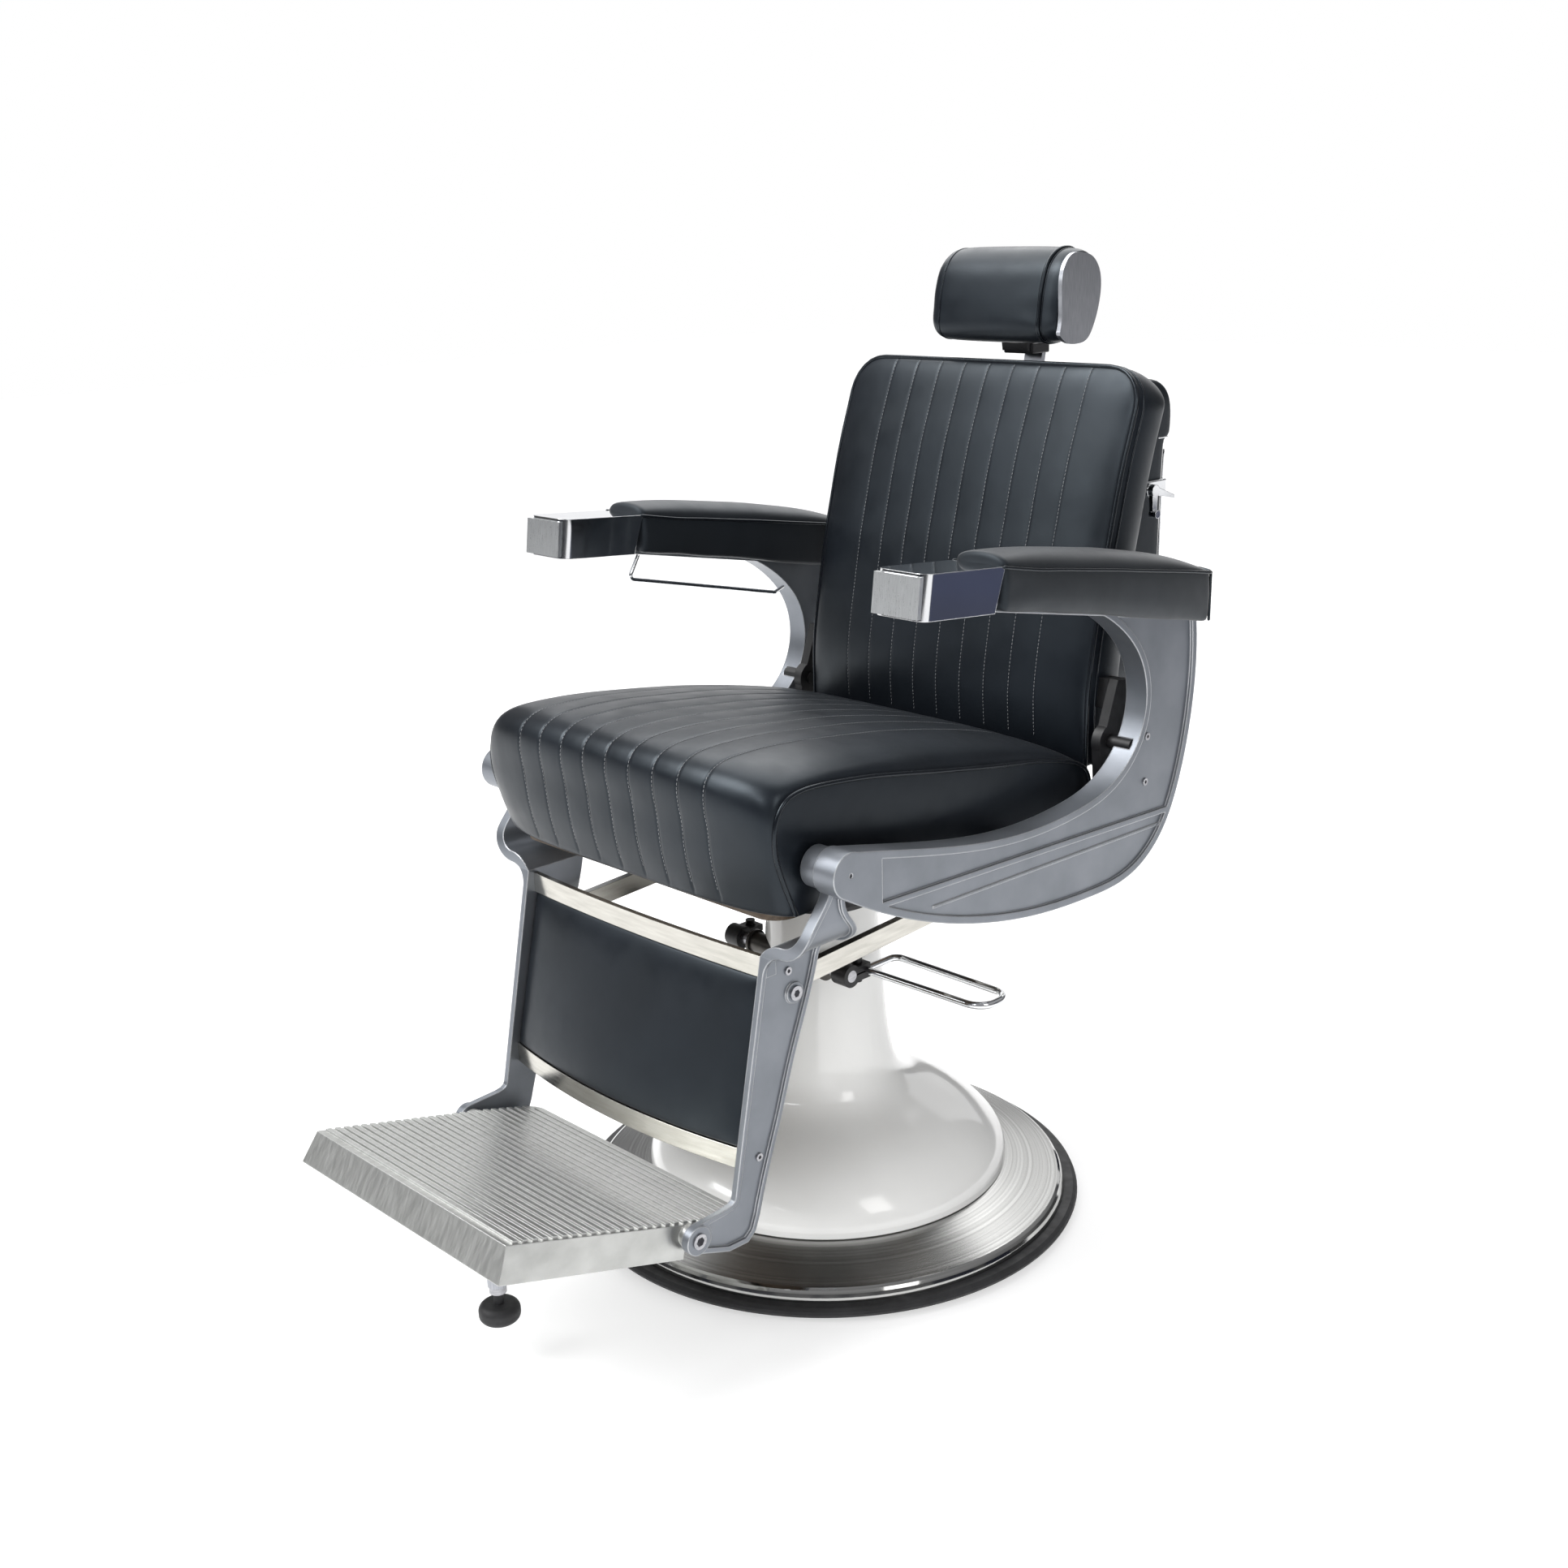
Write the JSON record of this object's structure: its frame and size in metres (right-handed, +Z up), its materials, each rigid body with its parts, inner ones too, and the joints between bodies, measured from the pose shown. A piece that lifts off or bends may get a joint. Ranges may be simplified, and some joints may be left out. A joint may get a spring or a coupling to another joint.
{
  "type": "hydraulic barber chair",
  "caption": "Reclining barber chair on a round hydraulic base, with padded arms, headrest, linked leg rest and flip-up footplate.",
  "frame": {"origin": "on the floor at the centre of the round base", "axes": "+Z up, the chair faces -Y, +X is the sitter's left"},
  "size_m": [0.692, 1.1485, 1.243],
  "materials": {
    "black_rubber": "matt",
    "polished_chrome": "mirror polished",
    "white_enamel": "gloss enamel",
    "plain_steel": "machined",
    "black_plastic": "matt",
    "black_metal": "satin black",
    "silver_paint": "satin metallic paint on cast aluminium",
    "satin_aluminium": "satin",
    "cast_aluminium": "as cast, lightly brushed",
    "black_upholstery": "satin leatherette, fine grain",
    "plywood": "plain",
    "rail_steel": "bright stainless",
    "bronze": "plain"
  },
  "bodies": {
    "base": {"floor_ring": "black_rubber", "base_dish": "polished_chrome", "bell_cover": "white_enamel", "base_plate": "plain_steel", "hydraulic_cylinder": "plain_steel", "cylinder_bolts": "plain_steel", "oil_reservoir": "plain_steel", "pump_block": "plain_steel", "shaft_bushes": "bronze", "gland_ring": "black_plastic", "column_screw": "black_metal"},
    "pump_lever": {"pump_shaft": "plain_steel", "lever_clamps": "black_metal", "clamp_screws": "black_metal", "pump_lever_rod": "polished_chrome"},
    "lift": {"ram": "polished_chrome", "ram_seal": "black_rubber", "ram_head": "plain_steel"},
    "seat": {"thrust_washer": "bronze", "seat_hub": "black_metal", "cross_beams": "black_metal", "seat_board": "plywood", "seat_cushion": "black_upholstery", "side_casting_left": "silver_paint", "side_casting_right": "silver_paint", "casting_screws": "polished_chrome", "arm_cap_left": "polished_chrome", "arm_cap_right": "polished_chrome", "arm_face_plates": "satin_aluminium", "arm_pad_left": "black_upholstery", "arm_pad_right": "black_upholstery", "towel_bar": "polished_chrome", "leg_pivot_pins": "plain_steel", "back_pivot_pins": "black_metal"},
    "back": {"back_cushion": "black_upholstery", "back_shell": "black_upholstery", "back_lever_left": "black_metal", "back_lever_right": "black_metal", "link_rod": "plain_steel", "headrest_socket": "plain_steel", "recline_escutcheon": "polished_chrome"},
    "recline_handle": {"recline_handle": "polished_chrome"},
    "headrest_post": {"headrest_post": "satin_aluminium", "headrest_bracket": "black_plastic"},
    "headrest": {"headrest_pillow": "black_upholstery", "end_cap": "satin_aluminium", "tilt_rod": "plain_steel"},
    "leg_rest": {"leg_arm_left": "silver_paint", "leg_arm_right": "silver_paint", "leg_top_rail": "rail_steel", "leg_low_rail": "rail_steel", "leg_panel": "black_upholstery", "leg_board": "plywood", "leg_fasteners": "polished_chrome"},
    "links": {"link_bars": "rail_steel"},
    "footrest": {"footplate": "cast_aluminium", "foot_tube": "satin_aluminium", "foot_lock_nut": "plain_steel"},
    "foot_screw": {"rubber_foot": "black_rubber"}
  },
  "joints": [
    {"name": "pump_lever_hinge", "type": "hinge", "parent": "base", "child": "pump_lever", "pos_m": [0, -0.061, 0.364], "axis": [1, 0, 0], "range_deg": [-22, 10], "stiffness_Nm_per_rad": 6},
    {"name": "lift", "type": "slide", "parent": "base", "child": "lift", "axis": [0, 0, 1], "range_m": [0, 0.15]},
    {"name": "swivel", "type": "hinge", "parent": "lift", "child": "seat", "pos_m": [0, 0, 0.5], "axis": [0, 0, 1], "continuous": true},
    {"name": "recline", "type": "hinge", "parent": "seat", "child": "back", "pos_m": [0, 0.252, 0.638], "axis": [-1, 0, 0], "range_deg": [0, 45]},
    {"name": "leg_rest_hinge", "type": "hinge", "parent": "seat", "child": "leg_rest", "pos_m": [0, -0.277, 0.61], "axis": [-1, 0, 0], "range_deg": [0, 45]},
    {"name": "link_hinge", "type": "hinge", "parent": "leg_rest", "child": "links", "pos_m": [0, -0.27, 0.442], "axis": [-1, 0, 0], "range_deg": [-45, 0]},
    {"name": "recline_handle_hinge", "type": "hinge", "parent": "back", "child": "recline_handle", "pos_m": [0, 0.395, 0.938], "axis": [1, 0, 0], "range_deg": [-20, 5], "stiffness_Nm_per_rad": 1},
    {"name": "headrest_height", "type": "slide", "parent": "back", "child": "headrest_post", "axis": [0, 0.2079, 0.9781], "range_m": [0, 0.09]},
    {"name": "headrest_tilt", "type": "hinge", "parent": "headrest_post", "child": "headrest", "pos_m": [0, 0.401, 1.146], "axis": [-1, 0, 0], "range_deg": [-12, 45]},
    {"name": "footplate_flip", "type": "hinge", "parent": "leg_rest", "child": "footrest", "pos_m": [0, -0.435, 0.193], "axis": [-1, 0, 0], "range_deg": [0, 88]},
    {"name": "foot_screw", "type": "slide", "parent": "footrest", "child": "foot_screw", "axis": [0, 0, 1], "range_m": [-0.015, 0.009]}
  ],
  "couplings": [
    {"joint": "leg_rest_hinge", "follows": "recline", "ratio": 1},
    {"joint": "link_hinge", "follows": "recline", "ratio": -1}
  ]
}
